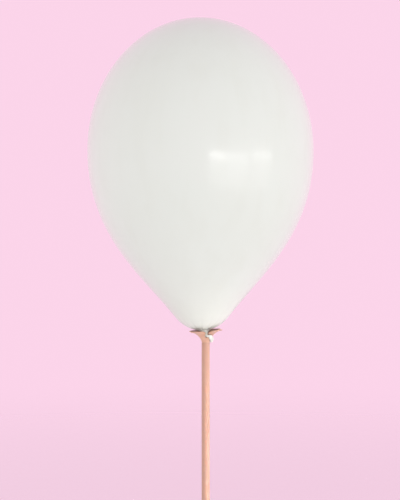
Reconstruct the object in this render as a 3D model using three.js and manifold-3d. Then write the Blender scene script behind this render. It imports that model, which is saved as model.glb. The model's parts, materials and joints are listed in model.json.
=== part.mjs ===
// A toy balloon on a stick: a latex balloon held by its neck in a four-petalled plastic cup,
// whose spigot plugs into the end of a plastic tube. Millimetres, +Z up, the front towards -Y.
// The origin is the centre of the stick's lower end.

import * as THREE from 'three';
import { mergeVertices } from 'three/addons/utils/BufferGeometryUtils.js';
import Module from 'manifold-3d';

const manifold = await Module();
manifold.setup();

// Stick: an extruded tube, cut square at both ends
const stickLength = 400;
const stickDiameter = 9;
const stickWall = 1.1;

// Cup: one moulding, with a spigot in the tube, a throat flush with it and a flared dish on top
const spigotLength = 18;
const spigotWall = 1;
const spigotClearance = 0.3; // all round, between the spigot and the tube's bore
const shoulderGap = 0.3; // between the shoulder and the tube's end
const leadIn = 0.6; // chamfer at the spigot's lower end
const throatHeight = 0.6; // straight part above the shoulder
const cupWall = 1.2;
const cupHeight = 13.8; // from the shoulder to the top of the rim, at the middle of the lean
const rimDiameter = 38.4;
const dishLean = THREE.MathUtils.degToRad(3.9); // the neck's pull bends the dish down on the left

// Notches: a bell-mouthed opening between each two petals, running into a slot that grips the neck
const petalCount = 4;
const frontNotchTurn = THREE.MathUtils.degToRad(7); // from -Y towards +X
const notchMouth = 14.5; // width at the rim
const notchDepth = 6.8; // from the rim in to the slot
const petalCornerRadius = 3.2;
const slotWidth = 3.2;
const slotInnerRadius = 6.2; // from the cup's axis to the slot's round end
const slotFloor = 2; // the slots stop this far above the shoulder

// Balloon: an inflated skin, open at the neck
const balloonWidth = 250.4;
const balloonHeight = 344;
const crownHeight = 147; // from the widest place to the top
const coneAngle = THREE.MathUtils.degToRad(38); // between the lower side and the axis
const bottomRadius = 40; // of the round bottom
const shoulderFullness = 0.51; // how far the round side runs down before it turns in
const coneFullness = 0.3; // how far the straight lower side runs up
const skinThickness = 0.05;
const mouthRadius = 4.5; // of the opening that the neck hangs from
const balloonLean = THREE.MathUtils.degToRad(0.52); // towards the left
const balloonOffset = 4; // of the bottom, to the left of the stick

// Neck: gathered in the bowl, then drawn out through the front slot and wrapped round the throat
const pivotRise = 9.25; // the neck bends about this height above the shoulder
const neckClearance = 1; // between the gathered neck and the bowl, whichever way it leans
const swingGap = 0.5; // between the gathered neck and the balloon above it
const tailGap = 0.5; // between the tail and what it passes
const slotClearance = 0.5; // beside the twisted neck in the slot
const tailHalfWidth = 2.5;
const tailHalfThickness = 1.5;
const lipHalfWidth = 5;
const lipHalfThickness = 2.2;
const lipBead = 0.7; // how far the rolled lip stands out

// Facets
const roundSegments = 44;
const curveSteps = 8;
const crownSteps = 10;
const sideSteps = 8;
const bottomSteps = 3;
const tailSides = 12;
const tailSteps = 32;

// Places that follow from the sizes
const stickRadius = stickDiameter / 2;
const boreRadius = stickRadius - stickWall;
const spigotRadius = boreRadius - spigotClearance;
const rimRadius = rimDiameter / 2;
const shoulderZ = stickLength + shoulderGap;
const pivotZ = shoulderZ + pivotRise;
const ropeRadius = slotWidth / 2 - slotClearance;

const materials = {
  latex: { color: 0xe8ebe4, roughness: 0.25, metalness: 0 },
  cup: { color: 0xe9b89c, roughness: 0.45, metalness: 0 },
  stick: { color: 0xeab79f, roughness: 0.4, metalness: 0 },
};

// Geometry helpers

/** Joins shared corners and drops the triangles that collapse, as at a lathe's poles. */
function welded(geometry) {
  geometry.deleteAttribute('normal');
  geometry.deleteAttribute('uv');
  const merged = mergeVertices(geometry, 1e-4);
  const corners = merged.index.array;
  const kept = [];
  for (let i = 0; i < corners.length; i += 3) {
    const [a, b, c] = corners.slice(i, i + 3);
    if (a !== b && b !== c && c !== a) {
      kept.push(a, b, c);
    }
  }
  merged.setIndex(kept);
  return merged;
}

/** Turns a profile of radius and height about the vertical axis. */
function turned(profile, segments) {
  const geometry = new THREE.LatheGeometry(profile, segments);
  geometry.rotateX(Math.PI / 2);
  return welded(geometry);
}

function toSolid(geometry) {
  return new manifold.Manifold(new manifold.Mesh({
    numProp: 3,
    vertProperties: new Float32Array(geometry.attributes.position.array),
    triVerts: new Uint32Array(geometry.index.array),
  }));
}

function toGeometry(solid) {
  const mesh = solid.getMesh();
  const geometry = new THREE.BufferGeometry();
  geometry.setAttribute('position', new THREE.BufferAttribute(mesh.vertProperties, 3));
  geometry.setIndex(new THREE.BufferAttribute(mesh.triVerts, 1));
  return geometry;
}

/** A round bar bent along a curve. sizeAt gives its half width and half thickness at 0 to 1, and
    away gives the direction, at a point of the curve, that its thickness is measured along. */
function bentBar(curve, sizeAt, away, sides, steps) {
  const geometry = welded(new THREE.CylinderGeometry(1, 1, 1, sides, steps));
  const position = geometry.attributes.position;
  const corner = new THREE.Vector3();
  for (let i = 0; i < position.count; i += 1) {
    corner.fromBufferAttribute(position, i);
    const along = 0.5 - corner.y;
    const centre = curve.getPointAt(along);
    const tangent = curve.getTangentAt(along);
    const outward = away(centre).projectOnPlane(tangent).normalize();
    const across = new THREE.Vector3().crossVectors(outward, tangent);
    const [halfWidth, halfThickness] = sizeAt(along);
    centre.addScaledVector(across, corner.x * halfWidth);
    centre.addScaledVector(outward, corner.z * halfThickness);
    position.setXYZ(i, centre.x, centre.y, centre.z);
  }
  return geometry;
}

// Cup

/** The dish's underside, as radius and height above the shoulder, from the throat to the rim. */
const flare = new THREE.CubicBezierCurve(
  new THREE.Vector2(stickRadius, throatHeight),
  new THREE.Vector2(stickRadius + 0.4, cupHeight * 0.33),
  new THREE.Vector2(stickRadius + 0.42 * (rimRadius - stickRadius), cupHeight * 0.89),
  new THREE.Vector2(rimRadius - cupWall / 2, cupHeight - cupWall),
);

/** A point at a distance outside the underside of the dish, or inside it where that is negative. */
function offFlare(along, distance) {
  const tangent = flare.getTangent(along);
  return flare.getPoint(along).add(new THREE.Vector2(tangent.y, -tangent.x).multiplyScalar(distance));
}

/** The height of the surface at a distance off the underside, where it has a given radius. */
function heightAt(radius, distance) {
  let low = 0;
  let high = 1;
  while (high - low > 1e-6) {
    const middle = (low + high) / 2;
    if (offFlare(middle, distance).x < radius) {
      low = middle;
    } else {
      high = middle;
    }
  }
  return offFlare(low, distance).y;
}

/** How far the lean lifts a point of the dish, which starts at the throat and is whole at the rim. */
function leanLift(x, height) {
  return Math.tan(dishLean) * x * THREE.MathUtils.smoothstep(height, throatHeight, cupHeight * 0.6);
}

function cupProfile() {
  const bore = spigotRadius - spigotWall;
  const profile = [
    new THREE.Vector2(bore, -spigotLength),
    new THREE.Vector2(spigotRadius - leadIn / 2, -spigotLength),
    new THREE.Vector2(spigotRadius, -spigotLength + leadIn),
    new THREE.Vector2(spigotRadius, 0),
    new THREE.Vector2(stickRadius, 0),
  ];
  for (let i = 0; i <= curveSteps; i += 1) {
    profile.push(offFlare(i / curveSteps, 0));
  }
  const rimTangent = flare.getTangent(1);
  const edge = offFlare(1, -cupWall / 2);
  profile.push(edge.clone().addScaledVector(rimTangent, cupWall / 2));
  for (let i = curveSteps; i >= 0; i -= 1) {
    profile.push(offFlare(i / curveSteps, -cupWall));
  }
  profile.push(new THREE.Vector2(bore, -cupWall));
  profile.push(profile[0].clone());
  return profile;
}

/** One notch and its slot, as an outline seen from above, opening towards +Y. */
function notchOutline() {
  const mouthHalf = notchMouth / 2;
  const slotHalf = slotWidth / 2;
  const slotOuter = rimRadius - notchDepth;
  const cornerStart = new THREE.Vector2(mouthHalf, rimRadius)
    .sub(new THREE.Vector2(slotHalf, slotOuter))
    .setLength(petalCornerRadius);
  const cornerEndX = mouthHalf + petalCornerRadius;
  const outside = rimRadius + petalCornerRadius;
  const outline = new THREE.Shape();
  outline.moveTo(slotHalf, slotOuter);
  outline.lineTo(mouthHalf - cornerStart.x, rimRadius - cornerStart.y);
  outline.quadraticCurveTo(mouthHalf, rimRadius, cornerEndX, Math.sqrt(rimRadius ** 2 - cornerEndX ** 2));
  outline.lineTo(cornerEndX, outside);
  outline.lineTo(-cornerEndX, outside);
  outline.lineTo(-cornerEndX, Math.sqrt(rimRadius ** 2 - cornerEndX ** 2));
  outline.quadraticCurveTo(-mouthHalf, rimRadius, cornerStart.x - mouthHalf, rimRadius - cornerStart.y);
  outline.lineTo(-slotHalf, slotOuter);
  outline.absarc(0, slotInnerRadius + slotHalf, slotHalf, Math.PI, 2 * Math.PI);
  outline.closePath();
  return outline;
}

function cupGeometry() {
  let cup = toSolid(turned(cupProfile(), roundSegments));
  for (let i = 0; i < petalCount; i += 1) {
    const cutter = new THREE.ExtrudeGeometry(notchOutline(), {
      depth: cupHeight * 2,
      bevelEnabled: false,
      curveSegments: 5,
    });
    cutter.translate(0, 0, slotFloor);
    cutter.rotateZ(Math.PI + frontNotchTurn + (i * 2 * Math.PI) / petalCount);
    cup = cup.subtract(toSolid(welded(cutter)));
  }
  const geometry = toGeometry(cup);
  const position = geometry.attributes.position;
  for (let i = 0; i < position.count; i += 1) {
    position.setZ(i, position.getZ(i) + leanLift(position.getX(i), position.getZ(i)));
  }
  return geometry;
}

// Stick

function stickGeometry() {
  const profile = [
    new THREE.Vector2(boreRadius, 0),
    new THREE.Vector2(stickRadius, 0),
    new THREE.Vector2(stickRadius, stickLength),
    new THREE.Vector2(boreRadius, stickLength),
    new THREE.Vector2(boreRadius, 0),
  ];
  return turned(profile, roundSegments);
}

// Neck and tail

/** The neck bends within a ball about the pivot, as large as the bowl leaves room for. */
function neckRadius() {
  const pivot = new THREE.Vector2(0, pivotRise);
  let nearest = Infinity;
  for (let i = 0; i <= curveSteps; i += 1) {
    nearest = Math.min(nearest, pivot.distanceTo(offFlare(i / curveSteps, -cupWall)));
  }
  return nearest - neckClearance;
}

/** The gathered neck: a funnel with a domed top, all of it inside the ball. */
function neckGeometry() {
  const radius = neckRadius();
  const domeAngle = THREE.MathUtils.degToRad(58);
  const funnel = new THREE.CubicBezierCurve(
    new THREE.Vector2(radius * 0.35, -radius * 0.9),
    new THREE.Vector2(radius * 0.4, -radius * 0.3),
    new THREE.Vector2(radius * 0.6, 0),
    new THREE.Vector2(radius * Math.sin(domeAngle), radius * Math.cos(domeAngle)),
  );
  const profile = [new THREE.Vector2(0, -radius * 0.9), ...funnel.getPoints(5)];
  for (let i = 4; i >= 0; i -= 1) {
    const angle = (domeAngle * i) / 5;
    profile.push(new THREE.Vector2(radius * Math.sin(angle), radius * Math.cos(angle)));
  }
  return turned(profile, roundSegments / 2);
}

/** A point round the cup: turned from the front towards +X, at a radius and a height. */
function aroundCup(turn, radius, height) {
  const x = radius * Math.sin(turn);
  return new THREE.Vector3(x, -radius * Math.cos(turn), shoulderZ + height + leanLift(x, height));
}

/** The tail's centre line: out through the front slot, to the right, and round to the back. */
function tailCurve() {
  const clear = ropeRadius + tailGap;
  const overEdge = slotInnerRadius + slotWidth / 2;
  const underEdge = slotInnerRadius + slotWidth * 1.4;
  const overHeight = heightAt(overEdge, -cupWall) + clear;
  const points = [
    aroundCup(frontNotchTurn, neckRadius() + tailGap, overHeight),
    aroundCup(frontNotchTurn, overEdge, overHeight),
    aroundCup(frontNotchTurn, underEdge, heightAt(underEdge, 0) - clear),
  ];
  // Each stop is a turn in degrees, and a share of the way up the flare that the tail lies against
  const stops = [[23, 0.57], [42, 0.42], [64, 0.29], [90, 0.2], [120, 0.18], [146, 0.24], [164, 0.34]];
  for (const [turn, along] of stops) {
    const beside = offFlare(along, tailHalfThickness + tailGap);
    points.push(aroundCup(THREE.MathUtils.degToRad(turn), beside.x, beside.y));
  }
  const last = offFlare(0.5, lipHalfThickness + lipBead + tailGap);
  points.push(aroundCup(Math.PI * 0.975, last.x + 1.5, last.y));
  points.push(aroundCup(Math.PI * 0.985, last.x + 5.5, last.y + 0.6));
  return new THREE.CatmullRomCurve3(points, false, 'centripetal');
}

/** A thin rope in the slot that widens into the flat wrap and ends in a rolled lip. */
function tailSize(along) {
  const wrap = THREE.MathUtils.smoothstep(along, 0.14, 0.3);
  const lip = THREE.MathUtils.smoothstep(along, 0.78, 0.95);
  const bead = along > 0.955 ? lipBead : 0;
  const width = THREE.MathUtils.lerp(ropeRadius, tailHalfWidth, wrap);
  const thickness = THREE.MathUtils.lerp(ropeRadius, tailHalfThickness, wrap);
  return [
    THREE.MathUtils.lerp(width, lipHalfWidth - lipBead, lip) + bead,
    THREE.MathUtils.lerp(thickness, lipHalfThickness - lipBead, lip) + bead,
  ];
}

function tailGeometry() {
  const fromAxis = (point) => new THREE.Vector3(point.x, point.y, -3);
  return bentBar(tailCurve(), tailSize, fromAxis, tailSides, tailSteps);
}

// Balloon

/** Outer profile from the mouth up to the top, as radius and height above the bottom. */
function balloonProfile() {
  const widest = new THREE.Vector2(balloonWidth / 2, balloonHeight - crownHeight);
  const bottomCentre = new THREE.Vector2(0, bottomRadius);
  const onBottom = (angle) => new THREE.Vector2(Math.sin(angle), -Math.cos(angle))
    .multiplyScalar(bottomRadius)
    .add(bottomCentre);
  const coneStart = onBottom(Math.PI / 2 - coneAngle);
  const sideHeight = widest.y - coneStart.y;
  const side = new THREE.CubicBezierCurve(
    coneStart,
    new THREE.Vector2(Math.sin(coneAngle), Math.cos(coneAngle))
      .multiplyScalar(sideHeight * coneFullness)
      .add(coneStart),
    new THREE.Vector2(widest.x, widest.y - sideHeight * shoulderFullness),
    widest,
  );
  const mouthAngle = Math.asin(mouthRadius / bottomRadius);
  const profile = [];
  for (let i = 0; i < bottomSteps; i += 1) {
    profile.push(onBottom(THREE.MathUtils.lerp(mouthAngle, Math.PI / 2 - coneAngle, i / bottomSteps)));
  }
  profile.push(...side.getPoints(sideSteps));
  for (let i = 1; i <= crownSteps; i += 1) {
    const angle = (Math.PI / 2) * (i / crownSteps);
    profile.push(new THREE.Vector2(widest.x * Math.cos(angle), widest.y + crownHeight * Math.sin(angle)));
  }
  profile[profile.length - 1].x = 0;
  return profile;
}

/** The skin: its inner face is the outer profile moved in along the normal at each point. */
function balloonGeometry() {
  const outer = balloonProfile();
  const inner = outer.map((point, i) => {
    const before = outer[Math.max(i - 1, 0)];
    const after = outer[Math.min(i + 1, outer.length - 1)];
    const along = new THREE.Vector2().subVectors(after, before).normalize();
    return new THREE.Vector2(point.x - along.y * skinThickness, point.y + along.x * skinThickness);
  });
  inner[inner.length - 1].set(0, balloonHeight - skinThickness);
  return turned([...inner.reverse(), ...outer], roundSegments);
}

// Assembly

const balloonOnStick = new THREE.Group();

function addPiece(name, geometry, material) {
  const piece = new THREE.Mesh(geometry, new THREE.MeshStandardMaterial(material));
  piece.name = name;
  balloonOnStick.add(piece);
  return piece;
}

addPiece('stick', stickGeometry(), materials.stick);
addPiece('cup', cupGeometry(), materials.cup).position.z = shoulderZ;
addPiece('balloon_neck', neckGeometry(), materials.latex).position.z = pivotZ;
addPiece('balloon_tail', tailGeometry(), materials.latex);

const balloon = addPiece('balloon_body', balloonGeometry(), materials.latex);
balloon.position.set(-balloonOffset, 0, pivotZ + neckRadius() + swingGap);
balloon.rotation.y = -balloonLean;

export default balloonOnStick;
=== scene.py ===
"""A latex balloon held by its neck in a petalled cup on a plastic tube.

Shapes are worked out in millimetres in the frame's own axes: +Z up, the front towards -Y.
mesh_object() turns them into metres. Materials and lights are in metres.
"""

import json
import math

import bmesh
import bpy
import numpy as np
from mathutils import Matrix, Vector


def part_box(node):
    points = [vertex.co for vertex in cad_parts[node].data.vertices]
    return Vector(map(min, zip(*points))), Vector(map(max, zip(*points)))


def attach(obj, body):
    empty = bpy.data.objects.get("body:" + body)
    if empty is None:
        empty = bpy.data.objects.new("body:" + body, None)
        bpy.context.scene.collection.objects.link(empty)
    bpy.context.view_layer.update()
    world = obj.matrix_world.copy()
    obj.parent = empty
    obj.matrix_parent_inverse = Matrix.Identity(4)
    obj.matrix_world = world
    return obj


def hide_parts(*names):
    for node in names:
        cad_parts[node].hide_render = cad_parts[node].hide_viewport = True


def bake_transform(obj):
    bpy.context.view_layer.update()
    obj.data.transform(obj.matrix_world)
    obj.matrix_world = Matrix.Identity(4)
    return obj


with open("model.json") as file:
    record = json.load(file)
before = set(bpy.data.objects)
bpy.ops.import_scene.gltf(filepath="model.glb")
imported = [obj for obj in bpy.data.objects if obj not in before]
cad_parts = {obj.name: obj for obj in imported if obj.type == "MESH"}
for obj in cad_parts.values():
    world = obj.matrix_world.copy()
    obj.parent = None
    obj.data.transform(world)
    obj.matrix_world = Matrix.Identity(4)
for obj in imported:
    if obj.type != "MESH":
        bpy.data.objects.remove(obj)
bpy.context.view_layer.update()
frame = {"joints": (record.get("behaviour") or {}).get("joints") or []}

MM = 0.001


def in_mm(vector):
    return np.array(vector, float) / MM


# Places that the frame gives
STICK_LOW, STICK_HIGH = (in_mm(corner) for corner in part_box("stick"))
BALLOON_HIGH = in_mm(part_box("balloon_body")[1])
JOINTS = {joint["name"]: joint for joint in frame["joints"]}
PIVOT_Z = in_mm(JOINTS["neck_nod"]["pos_m"])[2]

# Stick
STICK_WALL = 1.1
STICK_EDGE = 0.18
STICK_RADIUS = (STICK_HIGH[0] - STICK_LOW[0]) / 2
STICK_SEGMENTS = 96
STICK_ROWS = 20
DIE_LINE_ANGLES = (0.9, 2.6, 4.3, 5.5)
DIE_LINE_WIDTH = 0.05
DIE_LINE_DEPTH = 0.004

# Cup: the same sizes as the CAD cup, with its rims and edges rounded
SHOULDER_GAP = 0.3
SHOULDER_Z = STICK_HIGH[2] + SHOULDER_GAP
SPIGOT_LENGTH = 18
SPIGOT_WALL = 1
SPIGOT_CLEARANCE = 0.3
SPIGOT_RADIUS = STICK_RADIUS - STICK_WALL - SPIGOT_CLEARANCE
LEAD_IN = 0.6
THROAT_HEIGHT = 0.6
CUP_WALL = 1.2
CUP_HEIGHT = 13.8
RIM_RADIUS = 19.2
THROAT_FLARE = 0.4
LOW_FLARE_HEIGHT = CUP_HEIGHT * 0.33
HIGH_FLARE_SPAN = 0.42
HIGH_FLARE_HEIGHT = CUP_HEIGHT * 0.89
DISH_LEAN = math.radians(3.9)
WHOLE_LEAN_HEIGHT = CUP_HEIGHT * 0.6
EDGE_ROUNDING = 0.14
PETALS = 4
PETAL_ANGLE = 2 * math.pi / PETALS
FRONT_NOTCH_TURN = math.radians(7)
NOTCH_MOUTH = 14.5
NOTCH_DEPTH = 6.8
PETAL_CORNER = 2.4
SLOT_WIDTH = 3.2
SLOT_INNER_RADIUS = 6.2
# A petal's grid: its columns beside an edge, by their distance from it, and how many it has
EDGE_COLUMNS = np.array([0, 0.03, 0.11, 0.24, 0.4, 0.6])
INNER_COLUMNS = 27
FOOT_ROWS = 13
SLOT_ROWS = 9
MOUTH_EDGE_ROWS = 10
CORNER_ROWS = 14
# The round mark of an ejector pin inside each petal
EJECTOR_RADIUS = 1.5
EJECTOR_EDGE = 0.35
EJECTOR_DEPTH = 0.12
EJECTOR_PLACE = 13.2

# Balloon: the same outline as the CAD skin, with gathers where it runs into the neck
BALLOON_RADIUS = 125.2
BALLOON_HEIGHT = 344
CROWN_HEIGHT = 147
CONE_ANGLE = math.radians(38)
BOTTOM_RADIUS = 40
SHOULDER_FULLNESS = 0.51
CONE_FULLNESS = 0.3
BALLOON_LEAN = math.radians(0.52)
BALLOON_OFFSET = 4
BALLOON_BOTTOM_Z = BALLOON_HIGH[2] - BALLOON_HEIGHT * math.cos(BALLOON_LEAN)
BALLOON_SEGMENTS = 192
CROWN_ROWS = 64
SIDE_ROWS = 72
BOTTOM_ROWS = 18
BOTTOM_SAG = 1.6
SAG_REACH = 15
GATHER_RADIUS = 12.5
SEAM_RADIUS = 21
SEAM_STEP = 0.002
GATHER_REACH = 46
GATHER_DEPTH = 0.5
GATHERS = 19
GATHER_WANDER = 1.1

# Neck and tail: the same route as the CAD tail
SWING_GAP = 0.5
SLOT_CLEARANCE = 0.5
NECK_RADIUS = BALLOON_BOTTOM_Z - PIVOT_Z - SWING_GAP
ROPE_RADIUS = SLOT_WIDTH / 2 - SLOT_CLEARANCE
FAN_ROWS = 44
# How the fan leaves the balloon and comes to the slot, at its front and at its back
FAN_LEAVE = (5.2, 6.5)
FAN_BEFORE_SLOT = (-1.2, 5.5)
FAN_ABOVE_SLOT = (3.0, 0.2)
FAN_FOLD_DEPTH = 0.9
FAN_FOLD_LIMIT = 0.16
FAN_FOLD_SPAN = (0, 0.3)
FAN_MOUTH_SHARE = 0.92
FAN_END = 0.35
TAIL_GAP = 0.5
UNDER_EDGE_RADIUS = SLOT_INNER_RADIUS + SLOT_WIDTH * 1.4
# Degrees round from the front, and how far along the flare the tail lies there
WRAP_STOPS = [(23, 0.57), (42, 0.42), (64, 0.29), (90, 0.2), (120, 0.18), (146, 0.24), (164, 0.34)]
# Half turns round from the front, and how far out and up the lip has gone
LIP_STOPS = [(0.975, 1.5, 0), (0.985, 5.5, 0.6)]
LIP_ALONG = 0.5
TAIL_HALF_WIDTH = 2.5
TAIL_HALF_THICKNESS = 1.5
TAIL_FOLDS = 7
TAIL_WANDER = 0.5
TAIL_FOLD_DEPTHS = (0.12, 0.4)
TAIL_TWIST = 0.45
TAIL_SEGMENTS = 72
TAIL_ROWS = 170
# Shares of the tail's length over which it changes
TWIST_SPAN = (0, 0.5)
DEEPER_SPAN = (0.1, 0.3)
WRAP_SPAN = (0.14, 0.3)
LIP_SPAN = (0.78, 0.95)
SPREAD_SPAN = (0.8, 0.93)
LIP_HALF_WIDTH = 5
LIP_HALF_THICKNESS = 2.2
LIP_BEAD = 0.7
LIP_DEPTH = 6
# The tail's flat side faces outwards, and down by this much
AWAY_DROP = 3
BEAD_START = LIP_BEAD * 1.6
INSIDE_STEP = LIP_BEAD * 0.9
BEAD_TURNS = np.radians(np.linspace(-140, 200, 18))
MOUTH_ROWS = 12
MOUTH_END_SHARE = 0.6
MOUTH_END_THICKNESS = 0.15


# Curves

def smoothstep(value, low, high):
    share = np.clip((value - low) / (high - low), 0, 1)
    return share * share * (3 - 2 * share)


def lerp(start, end, share):
    return start + (end - start) * share


def cubic(corners, share):
    """Points of a cubic Bezier curve; share may be an array."""
    a, b, c, d = (np.asarray(corner, float) for corner in corners)
    t = np.asarray(share, float)[..., None]
    return (1 - t) ** 3 * a + 3 * (1 - t) ** 2 * t * b + 3 * (1 - t) * t * t * c + t ** 3 * d


def rounded(corners, radius, steps=4):
    """An outline with its inner corners rounded."""
    corners = [np.asarray(corner, float) for corner in corners]
    points = [corners[0]]
    for before, corner, after in zip(corners, corners[1:], corners[2:]):
        start = corner + (before - corner) * radius / np.linalg.norm(before - corner)
        end = corner + (after - corner) * radius / np.linalg.norm(after - corner)
        for t in np.linspace(0, 1, steps + 1):
            points.append((1 - t) ** 2 * start + 2 * t * (1 - t) * corner + t * t * end)
    points.append(corners[-1])
    return np.array(points)


def smooth_route(points, rows, steps=60):
    """A centripetal Catmull-Rom curve through the points, as evenly spaced rows."""
    points = np.asarray(points, float)
    ends = [2 * points[0] - points[1]], [2 * points[-1] - points[-2]]
    points = np.concatenate([ends[0], points, ends[1]])
    t = np.linspace(0, 1, steps, endpoint=False)[:, None]
    curve = []
    for p0, p1, p2, p3 in zip(points, points[1:], points[2:], points[3:]):
        d0, d1, d2 = (np.linalg.norm(b - a) ** 0.5 for a, b in ((p0, p1), (p1, p2), (p2, p3)))
        leave = d1 * ((p1 - p0) / d0 - (p2 - p0) / (d0 + d1) + (p2 - p1) / d1)
        arrive = d1 * ((p2 - p1) / d1 - (p3 - p1) / (d1 + d2) + (p3 - p2) / d2)
        curve.append(p1 + leave * t + (3 * (p2 - p1) - 2 * leave - arrive) * t ** 2
                     + (2 * (p1 - p2) + leave + arrive) * t ** 3)
    curve = np.concatenate([*curve, points[-2:-1]])
    lengths = np.concatenate([[0], np.cumsum(np.linalg.norm(np.diff(curve, axis=0), axis=1))])
    stops = np.linspace(0, lengths[-1], rows)
    return np.stack([np.interp(stops, lengths, curve[:, axis]) for axis in range(3)], axis=1)


# Meshes

def mesh_object(name, points, faces):
    """A smooth-shaded object from points in millimetres, with shared points joined."""
    mesh = bpy.data.meshes.new(name)
    mesh.from_pydata((np.asarray(points) * MM).tolist(), [], faces)
    build = bmesh.new()
    build.from_mesh(mesh)
    bmesh.ops.remove_doubles(build, verts=build.verts, dist=1e-6)
    bmesh.ops.dissolve_degenerate(build, edges=build.edges, dist=1e-7)
    bmesh.ops.recalc_face_normals(build, faces=build.faces)
    build.to_mesh(mesh)
    build.free()
    mesh.polygons.foreach_set("use_smooth", [True] * len(mesh.polygons))
    thing = bpy.data.objects.new(name, mesh)
    bpy.context.scene.collection.objects.link(thing)
    return thing


def grid_faces(rows, columns, first=0, around=False):
    """Quads between the rows of a grid; around joins the last column to the first."""
    faces = []
    for i in range(rows - 1):
        for j in range(columns if around else columns - 1):
            k = (j + 1) % columns
            a, b = first + i * columns, first + (i + 1) * columns
            faces.append((a + j, a + k, b + k, b + j))
    return faces


def ring_angles(segments):
    return np.arange(segments) * 2 * math.pi / segments


def turned(profile, segments):
    """Rows of points made by turning a profile of radius and height about the vertical axis."""
    angles = ring_angles(segments)
    radius, height = np.asarray(profile)[:, :1], np.asarray(profile)[:, 1:]
    return np.stack(
        [radius * np.cos(angles), radius * np.sin(angles), height + 0 * angles], axis=-1)


# Cup

def flare(along):
    """The dish's underside, as radius and height above the shoulder."""
    span = RIM_RADIUS - STICK_RADIUS
    return cubic([
        (STICK_RADIUS, THROAT_HEIGHT),
        (STICK_RADIUS + THROAT_FLARE, LOW_FLARE_HEIGHT),
        (STICK_RADIUS + HIGH_FLARE_SPAN * span, HIGH_FLARE_HEIGHT),
        (RIM_RADIUS - CUP_WALL / 2, CUP_HEIGHT - CUP_WALL),
    ], along)


def flare_tangent(along):
    step = 1e-4
    along = np.asarray(along, float)
    difference = flare(np.minimum(along + step, 1)) - flare(np.maximum(along - step, 0))
    return difference / np.linalg.norm(difference, axis=-1, keepdims=True)


def off_flare(along, distance):
    """A point at a distance outside the dish's underside, or inside it where that is negative."""
    tangent = flare_tangent(along)
    normal = np.stack([tangent[..., 1], -tangent[..., 0]], axis=-1)
    return flare(along) + normal * np.asarray(distance)[..., None]


ALONG = np.linspace(0, 1, 400)


def height_at(radius, distance):
    """The height of the surface at a distance off the underside, where it has a given radius."""
    surface = off_flare(ALONG, np.full(ALONG.shape, distance))
    return float(np.interp(radius, surface[:, 0], surface[:, 1]))


def around_cup(turn, radius, height):
    """Points of the leaning dish: turned from the front towards +X, at a radius and a height."""
    x = radius * np.sin(turn)
    lift = math.tan(DISH_LEAN) * x * smoothstep(height, THROAT_HEIGHT, WHOLE_LEAN_HEIGHT)
    return np.stack([x, -radius * np.cos(turn), SHOULDER_Z + height + lift], axis=-1)


# Radius of the middle of the dish's wall for each of ALONG
MIDDLE_RADII = off_flare(ALONG, np.full(ALONG.shape, -CUP_WALL / 2))[:, 0]
PETAL_TIP = float(MIDDLE_RADII[-1] + CUP_WALL / 2)


def dish_point(radius, offset):
    """Radius and height of a point off the middle of the wall, beyond the flare's end too."""
    along = np.interp(radius, MIDDLE_RADII, ALONG)
    beyond = np.maximum(radius - MIDDLE_RADII[-1], 0)[..., None]
    return off_flare(along, offset - CUP_WALL / 2) + beyond * flare_tangent(np.ones(1))


def notch_edge():
    """One side of a notch seen from above, from the slot's round end out to the petal's rim."""
    half = SLOT_WIDTH / 2
    round_end = SLOT_INNER_RADIUS + half
    slot_end = np.array([half, PETAL_TIP - NOTCH_DEPTH])
    mouth = np.array([NOTCH_MOUTH / 2, PETAL_TIP]) - slot_end
    mouth /= np.linalg.norm(mouth)
    inwards = np.array([mouth[1], -mouth[0]])
    start = slot_end + PETAL_CORNER * inwards
    half_sum = start @ mouth
    reach = (PETAL_TIP - PETAL_CORNER) ** 2 - start @ start
    centre = start + mouth * (math.sqrt(half_sum ** 2 + reach) - half_sum)
    corner_start = centre - PETAL_CORNER * inwards
    first = math.atan2(*(corner_start - centre)[::-1])
    last = math.atan2(centre[1], centre[0])
    turns = np.linspace(0, math.pi / 2, SLOT_ROWS)
    edge = [(half * math.sin(a), round_end - half * math.cos(a)) for a in turns]
    edge += [(half, y) for y in np.linspace(round_end, slot_end[1], SLOT_ROWS)[1:]]
    edge += [lerp(slot_end, corner_start, t) for t in np.linspace(0, 1, MOUTH_EDGE_ROWS)[1:]]
    edge += [centre + PETAL_CORNER * np.array([math.cos(a), math.sin(a)])
             for a in np.linspace(first, last, CORNER_ROWS)[1:]]
    return np.array(edge)


def distance_to(edge, points):
    """Distance from each point to a line of edge points."""
    starts, sides = edge[:-1], np.diff(edge, axis=0)
    offset = points[..., None, :] - starts
    share = np.clip((offset * sides).sum(-1) / (sides * sides).sum(-1), 0, 1)
    return np.linalg.norm(offset - share[..., None] * sides, axis=-1).min(-1)


def petal_columns(radius, edge_angle):
    """Angles from one notch's middle to the next, closer together beside the edges."""
    span = (PETAL_ANGLE - 2 * edge_angle) * radius
    near = EDGE_COLUMNS
    between = near[-1] + (span - 2 * near[-1]) * np.linspace(0, 1, INNER_COLUMNS)[1:-1]
    return edge_angle + np.concatenate([near, between, span - near[::-1]]) / radius


def petal_grid(edge):
    """Radii and angles of a quarter of the dish, from its foot out to a petal's rim."""
    foot = MIDDLE_RADII[0]
    inner_radii = foot + (SLOT_INNER_RADIUS - foot) * np.linspace(0, 1, FOOT_ROWS)[:-1]
    radii = np.concatenate([inner_radii, np.hypot(edge[:, 0], edge[:, 1])])
    edge_angles = np.concatenate([0 * inner_radii, np.arctan2(edge[:, 0], edge[:, 1])])
    angles = np.array([petal_columns(r, a) for r, a in zip(radii, edge_angles)])
    return radii[:, None] + 0 * angles, angles


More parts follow.
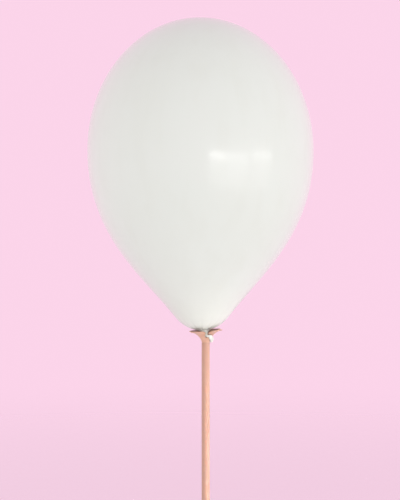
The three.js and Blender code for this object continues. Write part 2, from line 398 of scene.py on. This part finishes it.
def petal_sides(edge, radii, angles):
    """The petal's inside and outside as radius and height, rounded over at every free edge."""
    plan = np.stack([radii * np.sin(angles), radii * np.cos(angles)], axis=-1)
    mirrored = np.stack([radii * np.cos(angles), radii * np.sin(angles)], axis=-1)
    clear = np.minimum(distance_to(edge, plan), distance_to(edge, mirrored))
    clear = np.minimum(clear, np.maximum(PETAL_TIP - radii, 0))
    half = CUP_WALL / 2
    bulge = half * np.sqrt(1 - (1 - np.clip(clear / half, 0, 1)) ** 2)
    petal_middle = np.array([math.sin(PETAL_ANGLE / 2), math.cos(PETAL_ANGLE / 2)])
    ejector = np.linalg.norm(plan - EJECTOR_PLACE * petal_middle, axis=-1)
    dent = 1 - smoothstep(ejector, EJECTOR_RADIUS - EJECTOR_EDGE, EJECTOR_RADIUS)
    return dish_point(radii, EJECTOR_DEPTH * dent - bulge)[::-1], dish_point(radii, bulge)


def spigot_profile(dish_foot, throat):
    """From the dish's foot down the bore, round the spigot's end and up to the throat."""
    bore = SPIGOT_RADIUS - SPIGOT_WALL
    return rounded([
        dish_foot, (bore, -CUP_WALL), (bore, -SPIGOT_LENGTH),
        (SPIGOT_RADIUS - LEAD_IN / 2, -SPIGOT_LENGTH), (SPIGOT_RADIUS, LEAD_IN - SPIGOT_LENGTH),
        (SPIGOT_RADIUS, 0), (STICK_RADIUS, 0), throat,
    ], EDGE_ROUNDING)[1:-1]


def cup_petal(edge, turn):
    """Rows of a quarter of the cup: down its inside, round the spigot and up its outside."""
    radii, angles = petal_grid(edge)
    inside, outside = petal_sides(edge, radii, angles)
    core = spigot_profile(inside[-1, 0], outside[0, 0])
    core_angles = np.array([petal_columns(r, 0) for r in core[:, 0]])
    core_radii, core_heights = (core[:, i:i + 1] + 0 * core_angles for i in (0, 1))
    all_radii = np.concatenate([inside[..., 0], core_radii, outside[..., 0]])
    all_heights = np.concatenate([inside[..., 1], core_heights, outside[..., 1]])
    all_angles = np.concatenate([angles[::-1], core_angles, angles])
    return around_cup(turn + all_angles, all_radii, all_heights)


def make_cup():
    edge = notch_edge()
    points, faces = [], []
    for i in range(PETALS):
        petal = cup_petal(edge, FRONT_NOTCH_TURN + i * PETAL_ANGLE)
        faces += grid_faces(*petal.shape[:2], first=i * petal[..., 0].size)
        points.append(petal.reshape(-1, 3))
    return mesh_object("petal_cup", np.concatenate(points), faces)


# Stick

def make_stick():
    bore = STICK_RADIUS - STICK_WALL
    middle = STICK_HIGH[2] / 2
    outside = [(STICK_RADIUS, z) for z in np.linspace(STICK_HIGH[2], 0, STICK_ROWS)[1:-1]]
    top = rounded([(bore, middle), (bore, STICK_HIGH[2]), (STICK_RADIUS, STICK_HIGH[2]),
                   outside[0]], STICK_EDGE)
    bottom = rounded([outside[-1], (STICK_RADIUS, 0), (bore, 0), (bore, middle)], STICK_EDGE)
    profile = np.concatenate([top, outside[1:-1], bottom])
    points = turned(profile, STICK_SEGMENTS)
    angles = ring_angles(STICK_SEGMENTS)
    lines = sum(np.exp(-((angles - line) / DIE_LINE_WIDTH) ** 2) for line in DIE_LINE_ANGLES)
    points[..., :2] *= 1 - DIE_LINE_DEPTH * lines[:, None]
    faces = grid_faces(*points.shape[:2], around=True)
    return mesh_object("stick_tube", points.reshape(-1, 3), faces)


# Balloon

def body_profile():
    """The inflated body from the crown down to the gathers, as radius and height."""
    widest = np.array([BALLOON_RADIUS, BALLOON_HEIGHT - CROWN_HEIGHT])
    crown = np.linspace(math.pi / 2, 0, CROWN_ROWS)[1:]
    cap = math.pi / 2 - CONE_ANGLE
    cone = np.array([math.sin(CONE_ANGLE), math.cos(CONE_ANGLE)])
    cone_start = BOTTOM_RADIUS * np.array([math.sin(cap), 1 - math.cos(cap)])
    side_height = widest[1] - cone_start[1]
    side = cubic([
        widest, widest - (0, side_height * SHOULDER_FULLNESS),
        cone_start + cone * side_height * CONE_FULLNESS, cone_start,
    ], np.linspace(0, 1, SIDE_ROWS)[1:])
    seam = math.asin(SEAM_RADIUS / BOTTOM_RADIUS)
    bottom = np.concatenate([
        np.linspace(cap, seam, BOTTOM_ROWS)[1:-1], seam + SEAM_STEP * np.array([1, 0, -1]),
        np.linspace(seam, math.asin(GATHER_RADIUS / BOTTOM_RADIUS), BOTTOM_ROWS)[1:],
    ])
    return np.concatenate([
        np.stack([widest[0] * np.cos(crown), widest[1] + CROWN_HEIGHT * np.sin(crown)], axis=1),
        side,
        BOTTOM_RADIUS * np.stack([np.sin(bottom), 1 - np.cos(bottom)], axis=1),
    ])


def valleys(angles, count, wander):
    """Folds round a neck, from 0 on their rounded ridges to 1 in their sharp valleys."""
    drift = wander * (np.sin(2 * angles + 0.6) + 0.7 * np.sin(3 * angles + 2.1))
    return (1 - np.abs(np.sin((count * angles + drift) / 2))) ** 2


def in_balloon(points):
    """Puts points of the upright balloon where the leaning one is."""
    x = points[..., 0] * math.cos(BALLOON_LEAN) - points[..., 2] * math.sin(BALLOON_LEAN)
    z = points[..., 0] * math.sin(BALLOON_LEAN) + points[..., 2] * math.cos(BALLOON_LEAN)
    return np.stack([x - BALLOON_OFFSET, points[..., 1], z + BALLOON_BOTTOM_Z], axis=-1)


def body_rows():
    """The body's rings from the crown down, with the gathers growing towards the neck.

    Also gives the number of the ring where the neck takes over from the skin."""
    profile = body_profile()
    rows = turned(profile, BALLOON_SEGMENTS)
    folds = valleys(ring_angles(BALLOON_SEGMENTS), GATHERS, GATHER_WANDER)
    near = 1 - smoothstep(profile[:, 0], GATHER_RADIUS, GATHER_REACH)
    below = profile[:, 1] < BOTTOM_RADIUS
    rows[..., 2] += (GATHER_DEPTH * near ** 2 * below)[:, None] * folds
    rows[..., 2] -= BOTTOM_SAG * (1 - smoothstep(profile[:, 1:], 0, SAG_REACH))
    seam = int(np.argmin(np.where(below, np.abs(profile[:, 0] - SEAM_RADIUS), np.inf)))
    return in_balloon(rows), seam


def make_skin(rows):
    pole = in_balloon(np.array([0, 0, BALLOON_HEIGHT]))
    count = rows.shape[1]
    faces = grid_faces(*rows.shape[:2], around=True)
    cap = [(rows[..., 0].size, j, (j + 1) % count) for j in range(count)]
    return mesh_object("balloon_skin", np.concatenate([rows.reshape(-1, 3), [pole]]), faces + cap)


def tail_route():
    """The tail's centre line: out through the front slot, to the right, and round to the back."""
    clear = ROPE_RADIUS + TAIL_GAP
    over_edge = SLOT_INNER_RADIUS + SLOT_WIDTH / 2
    over_height = height_at(over_edge, -CUP_WALL) + clear
    under_height = height_at(UNDER_EDGE_RADIUS, 0) - clear
    points = [
        around_cup(FRONT_NOTCH_TURN, NECK_RADIUS + TAIL_GAP, over_height),
        around_cup(FRONT_NOTCH_TURN, over_edge, over_height),
        around_cup(FRONT_NOTCH_TURN, UNDER_EDGE_RADIUS, under_height),
    ]
    for turn, along in WRAP_STOPS:
        radius, height = off_flare(along, TAIL_HALF_THICKNESS + TAIL_GAP)
        points.append(around_cup(math.radians(turn), radius, height))
    radius, height = off_flare(LIP_ALONG, LIP_HALF_THICKNESS + LIP_BEAD + TAIL_GAP)
    for turn, out, up in LIP_STOPS:
        points.append(around_cup(math.pi * turn, radius + out, height + up))
    return points


def neck_fan(ring, leave):
    """Rings from the body's last one, drawn together round the rope that goes into the slot.

    leave is each point's direction as it comes off the body. The front of the fan bulges out
    through the notch, and its back runs under the balloon across the bowl."""
    angles = ring_angles(BALLOON_SEGMENTS)
    over, under = tail_route()[1:3]
    down_slot = (under - over) / np.linalg.norm(under - over)
    across = np.array([math.cos(FRONT_NOTCH_TURN), math.sin(FRONT_NOTCH_TURN), 0])
    upwards = np.cross(across, down_slot)
    upwards *= np.sign(upwards[2])
    back = (1 + np.sin(angles))[:, None] / 2
    mouth_radius = FAN_MOUTH_SHARE * ROPE_RADIUS
    mouth = (lerp(over, under, FAN_END)
             + mouth_radius * np.cos(angles)[:, None] * across
             - mouth_radius * np.sin(angles)[:, None] * upwards)
    arrive = (mouth - down_slot * lerp(*FAN_BEFORE_SLOT, back)
              + upwards * lerp(*FAN_ABOVE_SLOT, back))
    shares = np.linspace(0, 1, FAN_ROWS)
    fan = cubic([ring, ring + leave * lerp(*FAN_LEAVE, back), arrive, mouth], shares[:, None])
    sideways = fan - fan.mean(axis=1, keepdims=True)
    size = np.linalg.norm(sideways, axis=-1, keepdims=True)
    folds = valleys(angles, GATHERS, GATHER_WANDER)[:, None]
    depth = FAN_FOLD_DEPTH * smoothstep(shares, *FAN_FOLD_SPAN) * (1 - shares)
    depth = np.minimum(depth[:, None, None], FAN_FOLD_LIMIT * size)
    return fan - sideways / size * depth * folds


def make_neck(rows):
    """The bottom of the skin from the seam down, and the fan that goes into the front slot."""
    leave = rows[-1] - rows[-2]
    leave /= np.linalg.norm(leave, axis=1, keepdims=True)
    rings = np.concatenate([rows, neck_fan(rows[-1], leave)[1:]])
    faces = grid_faces(*rings.shape[:2], around=True)
    return mesh_object("neck_gather", rings.reshape(-1, 3), faces)


def tail_sizes(along):
    """Half width and half thickness: a rope in the slot, a flat wrap, then the spread lip."""
    wrap = smoothstep(along, *WRAP_SPAN)
    lip = smoothstep(along, *LIP_SPAN)
    width = lerp(ROPE_RADIUS, TAIL_HALF_WIDTH, wrap)
    thickness = lerp(ROPE_RADIUS, TAIL_HALF_THICKNESS, wrap)
    return (lerp(width, LIP_HALF_WIDTH - LIP_BEAD, lip),
            lerp(thickness, LIP_HALF_THICKNESS - LIP_BEAD, lip))


def tail_stations(length):
    """Shares of the length: along the outside, round the lip's bead and back inside the mouth."""
    outer = np.linspace(0, 1 - BEAD_START / length, TAIL_ROWS)
    bead = 1 - LIP_BEAD / length + LIP_BEAD * np.sin(BEAD_TURNS) / length
    inner = np.linspace(bead[-1], 1 - LIP_DEPTH / length, MOUTH_ROWS)[1:]
    return np.concatenate([outer, bead, inner])


def tail_sections(along):
    """Half width and half thickness at each station, over the bead and into the mouth too."""
    width, thickness = tail_sizes(along)
    end_width, end_thickness = tail_sizes(np.ones(1))
    bead = slice(TAIL_ROWS, TAIL_ROWS + BEAD_TURNS.size)
    inside = slice(bead.stop, None)
    bead_rise = LIP_BEAD * np.cos(BEAD_TURNS)
    inwards = np.linspace(0, 1, MOUTH_ROWS)[1:]
    width[bead] = end_width + bead_rise
    thickness[bead] = end_thickness + bead_rise
    width[inside] = lerp(end_width - INSIDE_STEP, end_width * MOUTH_END_SHARE, inwards)
    thickness[inside] = lerp(end_thickness - INSIDE_STEP, MOUTH_END_THICKNESS, inwards)
    return width, thickness


def tail_frame(route, along):
    """The centre of each station, and its directions across the tail and away from the cup."""
    tangents = np.gradient(route, axis=0)
    tangents /= np.linalg.norm(tangents, axis=1, keepdims=True)
    stops = np.linspace(0, 1, TAIL_ROWS)
    centre, tangent = (
        np.stack([np.interp(along, stops, line[:, axis]) for axis in range(3)], axis=1)
        for line in (route, tangents))
    away = centre * (1, 1, 0) - (0, 0, AWAY_DROP)
    away -= (away * tangent).sum(1, keepdims=True) * tangent
    away /= np.linalg.norm(away, axis=1, keepdims=True)
    return centre, np.cross(away, tangent), away


def tail_rows():
    """Rings along the tail, over its rolled lip and a little way back inside its mouth."""
    route = smooth_route(tail_route(), TAIL_ROWS)
    along = tail_stations(np.linalg.norm(np.diff(route, axis=0), axis=1).sum())
    width, thickness = tail_sections(along)
    centre, across, away = tail_frame(route, along)
    angles = ring_angles(TAIL_SEGMENTS)
    twist = 2 * math.pi * TAIL_TWIST * smoothstep(along, *TWIST_SPAN)
    folds = valleys(angles + twist[:, None], TAIL_FOLDS, TAIL_WANDER)
    deep = lerp(*TAIL_FOLD_DEPTHS, smoothstep(along, *DEEPER_SPAN))
    deep *= 1 - smoothstep(along, *SPREAD_SPAN)
    deep[TAIL_ROWS:] = 0
    shrink = 1 - deep[:, None] * folds
    return (centre[:, None]
            + across[:, None] * (width[:, None] * np.cos(angles) * shrink)[..., None]
            + away[:, None] * (thickness[:, None] * np.sin(angles) * shrink)[..., None])


def make_tail():
    rows = tail_rows()
    count = rows.shape[1]
    faces = grid_faces(*rows.shape[:2], around=True)
    ends = [tuple(range(count)), tuple(range(rows[..., 0].size - count, rows[..., 0].size))]
    return mesh_object("wrapped_tail", rows.reshape(-1, 3), faces + ends)


# Materials

def add(tree, kind, settings=None, **inputs):
    """A node with its settings and inputs; an input is a value or another node's socket."""
    item = tree.nodes.new(kind)
    for name, value in (settings or {}).items():
        setattr(item, name, value)
    for name, value in inputs.items():
        socket = item.inputs[name.replace("_", " ")]
        if isinstance(value, bpy.types.NodeSocket):
            tree.links.new(value, socket)
        else:
            socket.default_value = value
    return item


def noise(tree, place, scale, detail=3, stretch=(1, 1, 1), roughness=0.5):
    """Noise from 0 to 1 at so many features per metre, stretched along an axis."""
    moved = add(tree, "ShaderNodeMapping", Vector=place, Scale=stretch)
    return add(tree, "ShaderNodeTexNoise", Vector=moved.outputs["Vector"], Scale=scale,
               Detail=detail, Roughness=roughness).outputs["Fac"]


def ranged(tree, value, from_low, from_high, to_low, to_high):
    return add(tree, "ShaderNodeMapRange", {"interpolation_type": "SMOOTHSTEP"}, Value=value,
               From_Min=from_low, From_Max=from_high, To_Min=to_low, To_Max=to_high
               ).outputs["Result"]


def mixed(tree, share, first, second):
    """One colour towards another by a share."""
    mix = tree.nodes.new("ShaderNodeMix")
    mix.data_type = "RGBA"
    tree.links.new(share, mix.inputs["Factor"])
    for socket, colour in zip((mix.inputs[6], mix.inputs[7]), (first, second)):
        if isinstance(colour, bpy.types.NodeSocket):
            tree.links.new(colour, socket)
        else:
            socket.default_value = (*colour, 1)
    return mix.outputs[2]


def bumped(tree, height, strength, distance, below=None):
    bump = add(tree, "ShaderNodeBump", Height=height, Strength=strength, Distance=distance)
    if below is not None:
        tree.links.new(below, bump.inputs["Normal"])
    return bump.outputs["Normal"]


def new_material(name):
    material = bpy.data.materials.new(name)
    material.use_nodes = True
    tree = material.node_tree
    shader = tree.nodes["Principled BSDF"]
    place = add(tree, "ShaderNodeTexCoord").outputs["Object"]
    return material, tree, shader, place


# Noises: features per metre, and how far each is drawn out along the height
CLOUD_SCALE = 14
RUN_SCALE = 60
RUN_STRETCH = (1, 1, 0.12)
SPECK_SCALE = 900
MOULDED_SCALE = 90
EXTRUDED_SCALE = 160
EXTRUDED_STRETCH = (1, 1, 0.015)
GRAIN_SCALE = 2600
SCUFF_SCALE = 420
SCUFF_STRETCH = (1, 1, 0.25)

# The two looks of the latex
STRETCHED = {"roughness": (0.17, 0.25), "specks": 0.06, "coat": 0.35, "subsurface": 0}
GATHERED = {"roughness": (0.3, 0.42), "specks": 0.25, "coat": 0.1, "subsurface": 0.2}
NECK_TINT_REACH = 0.06
CROWN_TINT_REACH = 0.0012
# Painted shade: how far the ambient occlusion reaches that darkens the cup's crevices, in metres
PAINTED_SHADE_REACH = 0.012
FLOOR_FADE = (0.6, 3.2)

# Colours
LATEX = (0.815, 0.84, 0.80)
LATEX_DEEP = (0.75, 0.765, 0.70)
LATEX_THICK = (0.79, 0.80, 0.745)
CUP_PEACH = (0.75, 0.44, 0.32)
# Painted shade: the dark colour painted into the cup's crevices, under the balloon and between the
# petals
CUP_PAINTED_SHADE = (0.16, 0.07, 0.045)
STICK_PEACH = (0.68, 0.388, 0.29)
ROOM_LIGHT = (1.17, 1.175, 1.16)
CEILING_LIGHT = (0.60, 0.605, 0.605)
BACKDROP_PINK = (0.97, 0.66, 0.82)
FLOOR_PINK = (1, 0.75, 0.89)
FLOOR_LIGHT = (1, 0.99, 0.98)
FLOOR_SEEN_GLOW = (0.15, 0.06, 0.10)
FLOOR_LIT_GLOW = (0.065, 0.065, 0.065)


def latex_colour(tree, place, cloud, runs):
    """Pale latex with clouds and runs in it, deeper in colour at the neck and at the crown."""
    height = add(tree, "ShaderNodeSeparateXYZ", Vector=place).outputs["Z"]
    neck_z = BALLOON_BOTTOM_Z * MM
    crown_z = BALLOON_HIGH[2] * MM
    near_neck = ranged(tree, height, neck_z, neck_z + NECK_TINT_REACH, 0.85, 0)
    near_crown = ranged(tree, height, crown_z - CROWN_TINT_REACH, crown_z, 0, 0.6)
    colour = mixed(tree, ranged(tree, cloud, 0.35, 0.7, 0, 0.22), LATEX, LATEX_THICK)
    colour = mixed(tree, ranged(tree, runs, 0.45, 0.75, 0, 0.16), colour, LATEX_DEEP)
    colour = mixed(tree, near_neck, colour, LATEX_THICK)
    return mixed(tree, near_crown, colour, LATEX_DEEP)


def latex_material(name, look):
    """Glossy latex in one of the two looks."""
    material, tree, shader, place = new_material(name)
    cloud = noise(tree, place, CLOUD_SCALE, detail=4)
    runs = noise(tree, place, RUN_SCALE, detail=2, stretch=RUN_STRETCH)
    speck = noise(tree, place, SPECK_SCALE, detail=2)
    tree.links.new(latex_colour(tree, place, cloud, runs), shader.inputs["Base Color"])
    roughness = ranged(tree, cloud, 0.3, 0.7, *look["roughness"])
    tree.links.new(roughness, shader.inputs["Roughness"])
    normal = bumped(tree, runs, 0.05, 0.0006)
    normal = bumped(tree, speck, look["specks"], 0.00012, normal)
    tree.links.new(normal, shader.inputs["Normal"])
    shader.inputs["IOR"].default_value = 1.5
    if look["subsurface"]:
        shader.inputs["Subsurface Weight"].default_value = look["subsurface"]
        shader.inputs["Subsurface Radius"].default_value = (1.0, 0.9, 0.7)
        shader.inputs["Subsurface Scale"].default_value = 0.001
    shader.inputs["Coat Weight"].default_value = look["coat"]
    shader.inputs["Coat Roughness"].default_value = 0.09
    return material


def plastic_colour(tree, mottle, scuffs, peach, painted_shade):
    """Mottled plastic with rubbed patches, with painted shade darkening its crevices where a
    painted shade colour is given.
    """
    pale = tuple(min(1, c * 1.05 + 0.03) for c in peach)
    deep = tuple(c * 0.9 for c in peach)
    colour = mixed(tree, ranged(tree, mottle, 0.3, 0.7, 0, 1), deep, peach)
    colour = mixed(tree, ranged(tree, scuffs, 0.6, 0.75, 0, 0.35), colour, pale)
    if not painted_shade:
        return colour
    # Painted shade: ambient occlusion darkens the colour wherever the plastic is closed in, as in
    # the dish under the balloon
    open_sky = add(tree, "ShaderNodeAmbientOcclusion", {"samples": 12},
                   Distance=PAINTED_SHADE_REACH).outputs["AO"]
    return mixed(tree, ranged(tree, open_sky, 0.15, 0.6, 0.85, 0), colour, painted_shade)


def plastic_material(name, peach, streaked, painted_shade=None):
    """Satin plastic with a fine texture, which is drawn out along the piece if it is streaked, and
    painted shade in its crevices if a painted shade colour is given.
    """
    material, tree, shader, place = new_material(name)
    stretch = EXTRUDED_STRETCH if streaked else (1, 1, 1)
    scale = EXTRUDED_SCALE if streaked else MOULDED_SCALE
    mottle = noise(tree, place, scale, detail=3, stretch=stretch)
    grain = noise(tree, place, GRAIN_SCALE, detail=2, stretch=stretch)
    scuffs = noise(tree, place, SCUFF_SCALE, detail=5, stretch=SCUFF_STRETCH, roughness=0.7)
    colour = plastic_colour(tree, mottle, scuffs, peach, painted_shade)
    tree.links.new(colour, shader.inputs["Base Color"])
    tree.links.new(ranged(tree, scuffs, 0.35, 0.7, 0.36, 0.5), shader.inputs["Roughness"])
    normal = bumped(tree, grain, 0.3, 0.00003)
    normal = bumped(tree, mottle, 0.15, 0.00008, normal)
    tree.links.new(normal, shader.inputs["Normal"])
    shader.inputs["IOR"].default_value = 1.49
    shader.inputs["Subsurface Weight"].default_value = 0.25
    shader.inputs["Subsurface Radius"].default_value = (1.0, 0.45, 0.25)
    shader.inputs["Subsurface Scale"].default_value = 0.0015
    return material


def seen_or_lit(tree, seen, lit):
    """A stage colour: how it looks, and what it adds to the light on the object."""
    bounced = add(tree, "ShaderNodeLightPath").outputs["Is Diffuse Ray"]
    return mixed(tree, bounced, seen, lit)


def stage_material():
    """Pale paper that fades into the backdrop away from the object."""
    material, tree, shader, place = new_material("stage_paper")
    tree.links.new(seen_or_lit(tree, FLOOR_PINK, FLOOR_LIGHT), shader.inputs["Base Color"])
    glow = seen_or_lit(tree, FLOOR_SEEN_GLOW, FLOOR_LIT_GLOW)
    tree.links.new(glow, shader.inputs["Emission Color"])
    shader.inputs["Emission Strength"].default_value = 1
    shader.inputs["Roughness"].default_value = 0.9
    shader.inputs["Specular IOR Level"].default_value = 0
    distance = add(tree, "ShaderNodeVectorMath", {"operation": "LENGTH"}, Vector=place)
    fade = ranged(tree, distance.outputs["Value"], *FLOOR_FADE, 0, 1)
    clear = add(tree, "ShaderNodeBsdfTransparent").outputs["BSDF"]
    mix = add(tree, "ShaderNodeMixShader", Fac=fade)
    tree.links.new(shader.outputs["BSDF"], mix.inputs[1])
    tree.links.new(clear, mix.inputs[2])
    tree.links.new(mix.outputs["Shader"], tree.nodes["Material Output"].inputs["Surface"])
    return material


# Assembly

def finish_piece(piece, material, slot, *nodes):
    piece.data.materials.append(material)
    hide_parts(*nodes)


def make_holder():
    extruded = plastic_material("peach_extruded", STICK_PEACH, streaked=True)
    stick = make_stick()
    finish_piece(stick, extruded, "stick_plastic", "stick")
    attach(stick, "stick")

    # The cup's colour has painted shade in its crevices.
    moulded = plastic_material("peach_moulded", CUP_PEACH, streaked=False, painted_shade=CUP_PAINTED_SHADE)
    cup = make_cup()
    finish_piece(cup, moulded, "cup_plastic", "cup")
    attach(cup, "cup")


def make_balloon():
    """The one latex skin, as the tail that the cup grips and the two halves above it, split at the
    seam.
    """
    folded_latex = latex_material("latex_gathered", GATHERED)
    tail = make_tail()
    finish_piece(tail, folded_latex, "latex", "balloon_tail")
    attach(tail, "cup")

    smooth_latex = latex_material("latex_stretched", STRETCHED)
    rows, seam = body_rows()

    neck = make_neck(rows[seam:])
    finish_piece(neck, smooth_latex, "latex", "balloon_neck")
    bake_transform(neck)

    skin = make_skin(rows[:seam + 1])
    finish_piece(skin, smooth_latex, "latex", "balloon_body")
    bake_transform(skin)


# Stage, light and camera

# In millimetres; the view's height is measured at the stick's distance
CAMERA_DISTANCE = 1300
CAMERA_X = -6.3
CAMERA_Z = 503.1
SENSOR_HEIGHT = 36
VIEW_HEIGHT = 555.5

FLOOR_START = 0.001
FLOOR_END = FLOOR_FADE[1] * 1.05
FLOOR_ROWS = 12
FLOOR_SEGMENTS = 64
CEILING_SPAN = (0.05, 0.8)
# The lights that aren't reflected: name, place, aim, size, brightness and spread
LIGHTS = [
    ("key", (2.0, -1.3, 0.4), (0, 0, 0.5), (2, 1.2), 0.24, math.radians(75)),
    ("low_key", (0.62, -0.4, 0.1), (0, 0, 0.265), (0.4, 0.16), 1.25, math.radians(32)),
]
WINDOW_DISTANCE = 1.2
WINDOW_TURN = math.radians(38)
WINDOW_CENTRE = Vector((0.02, -0.12, 0.6))
# Name, directions of a pane's two sides in degrees, its top, brightness at the top and below
PANES = [
    ("left_pane", 8.2, 25, 0.575, 4.8, 1.0),
    ("middle_pane", 25, 49.6, 0.58, 2.3, 1.0),
    ("right_pane", 53.9, 75, 0.62, 2.6, 0.6),
]
PANE_FOOT = 0.03
PANE_MIDDLE = 0.28
PANE_LOW_SHARE = 0.8
GLARE_HEIGHT = 0.10


def make_stage():
    """A pale floor that fades out before its edge."""
    radii = np.linspace(FLOOR_START, FLOOR_END, FLOOR_ROWS)
    points = turned(np.stack([radii, 0 * radii], axis=1) / MM, FLOOR_SEGMENTS)
    faces = grid_faces(*points.shape[:2], around=True)
    stage = mesh_object("floor", points.reshape(-1, 3), faces)
    stage.data.materials.append(stage_material())


def area_light(name, place, aim, size, radiance, spread=None):
    """A rectangular light: with a spread it only lights, without one it is only reflected."""
    data = bpy.data.lights.new(name, "AREA")
    data.shape = "RECTANGLE"
    data.size, data.size_y = size
    data.energy = radiance * math.pi * size[0] * size[1]
    data.spread = spread or math.pi
    light = bpy.data.objects.new(name, data)
    light.location = place
    light.rotation_euler = (Vector(aim) - Vector(place)).to_track_quat("-Z", "Y").to_euler()
    light.visible_camera = False
    light.visible_glossy = spread is None
    light.visible_diffuse = spread is not None
    bpy.context.scene.collection.objects.link(light)


def window_pane(name, first_turn, last_turn, low, high, radiance):
    """A pane of the tall window on the right, between two directions seen from the balloon."""
    towards = Vector((math.sin(WINDOW_TURN), -math.cos(WINDOW_TURN), 0))
    along = Vector((math.cos(WINDOW_TURN), math.sin(WINDOW_TURN), 0))
    first, last = (WINDOW_DISTANCE * math.tan(math.radians(turn) - WINDOW_TURN)
                   for turn in (first_turn, last_turn))
    place = WINDOW_CENTRE + towards * WINDOW_DISTANCE + along * (first + last) / 2
    place.z = (low + high) / 2
    area_light(name, place, place - towards, (last - first, high - low), radiance)


def make_world():
    world = bpy.data.worlds.new("soft_white")
    world.use_nodes = True
    tree = world.node_tree
    background = tree.nodes["Background"]
    towards = add(tree, "ShaderNodeTexCoord").outputs["Generated"]
    height = add(tree, "ShaderNodeSeparateXYZ", Vector=towards).outputs["Z"]
    lit = mixed(tree, ranged(tree, height, *CEILING_SPAN, 0, 1), ROOM_LIGHT, CEILING_LIGHT)
    tree.links.new(seen_or_lit(tree, BACKDROP_PINK, lit), background.inputs["Color"])
    # Light-path colours only hold when the world isn't sampled as a lamp.
    world.cycles.sampling_method = "NONE"
    bpy.context.scene.world = world


def make_lights():
    make_world()
    for name, first_turn, last_turn, top, glare, fill in PANES:
        sides = first_turn, last_turn
        window_pane(name + "_low", *sides, PANE_FOOT, PANE_MIDDLE, fill * PANE_LOW_SHARE)
        window_pane(name + "_high", *sides, PANE_MIDDLE, top - GLARE_HEIGHT, fill)
        window_pane(name + "_top", *sides, top - GLARE_HEIGHT, top, glare)
    for light in LIGHTS:
        area_light(*light)


def make_camera():
    data = bpy.data.cameras.new("camera")
    data.sensor_fit = "VERTICAL"
    data.sensor_height = SENSOR_HEIGHT
    data.lens = SENSOR_HEIGHT * CAMERA_DISTANCE / VIEW_HEIGHT
    camera = bpy.data.objects.new("camera", data)
    camera.location = np.array([CAMERA_X, -CAMERA_DISTANCE, CAMERA_Z]) * MM
    camera.rotation_euler = (math.pi / 2, 0, 0)
    bpy.context.scene.collection.objects.link(camera)
    bpy.context.scene.camera = camera


make_camera()
make_stage()
make_lights()
make_holder()
make_balloon()
bpy.context.scene.view_settings.view_transform = "Standard"
